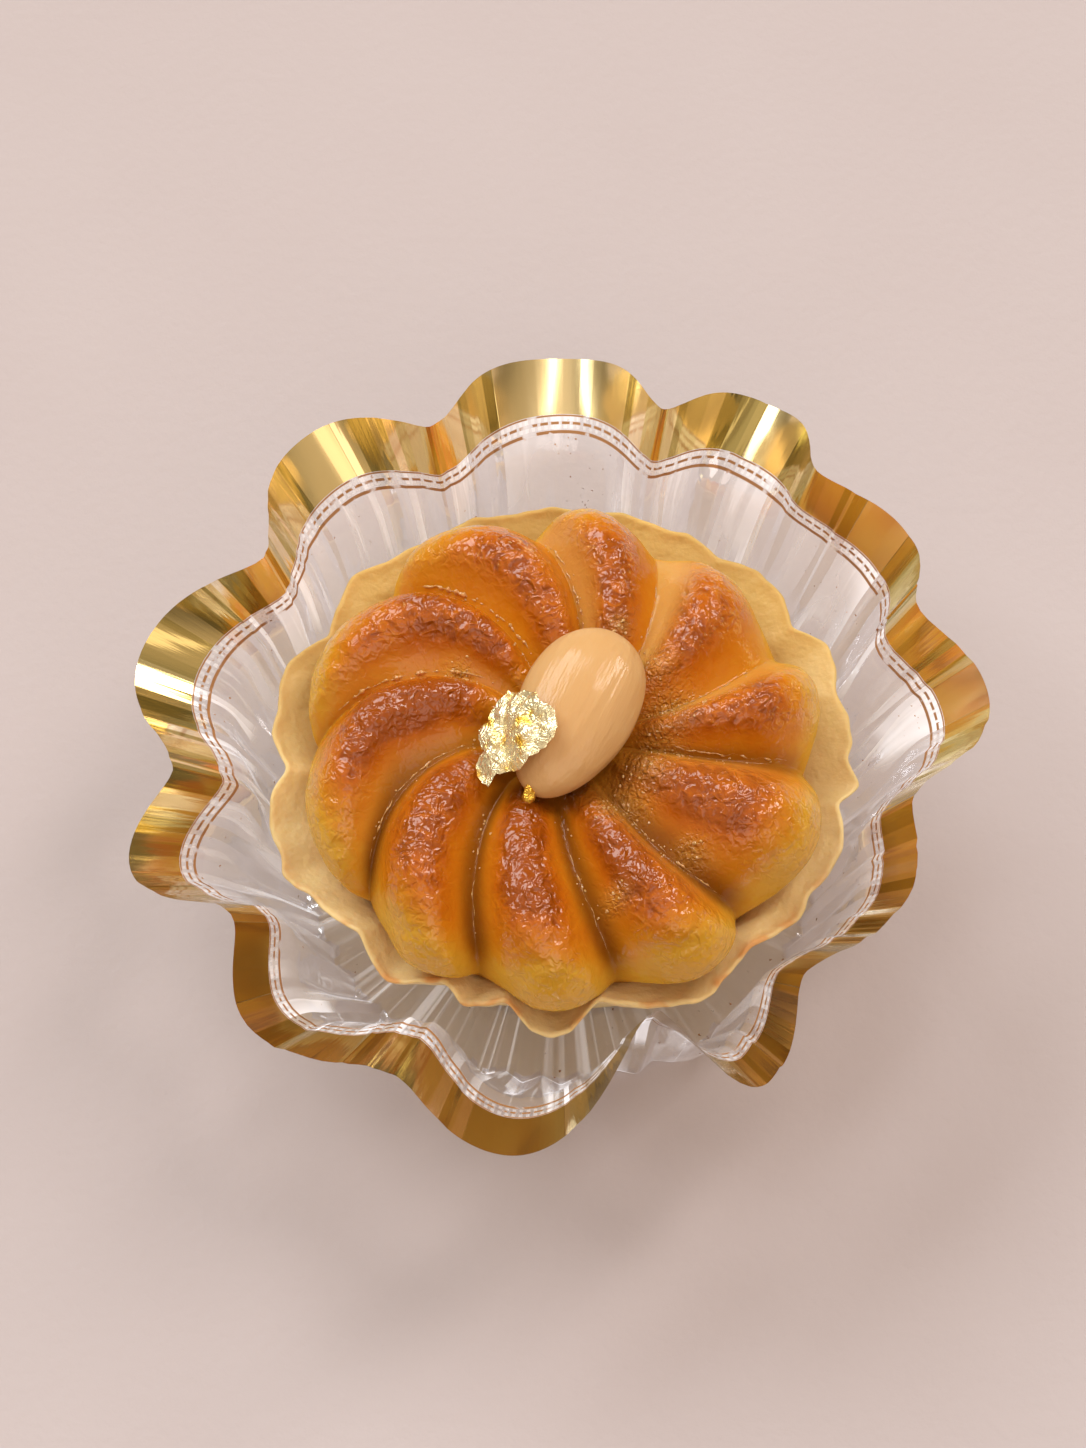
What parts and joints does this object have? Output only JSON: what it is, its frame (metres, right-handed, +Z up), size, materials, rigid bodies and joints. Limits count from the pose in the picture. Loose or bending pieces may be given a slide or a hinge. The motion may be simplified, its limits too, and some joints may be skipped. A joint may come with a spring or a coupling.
{
  "type": "almond pastry",
  "caption": "Small round almond pastry: fluted dough shell, almond paste scored into swirling petals, whole almond and gold leaf on top, in a clear ruffled film cup with a gold band.",
  "frame": {"origin": "middle of the cup's flat underside", "axes": "+Z up, -Y towards the near side of the picture, +X to its right"},
  "size_m": [0.0935, 0.098, 0.0383],
  "materials": {
    "gold_edged_film": "clear film, mirror gold at the edge",
    "dough": "baked dough, matt",
    "glazed_paste": "browned almond paste under a clear glaze",
    "almond": "blanched almond under a clear glaze",
    "gold_leaf": "crumpled gold leaf"
  },
  "bodies": {
    "root": {"case": "gold_edged_film", "pastry_shell": "dough", "almond_paste": "glazed_paste", "almond": "almond", "gold_leaf": "gold_leaf"}
  },
  "joints": []
}
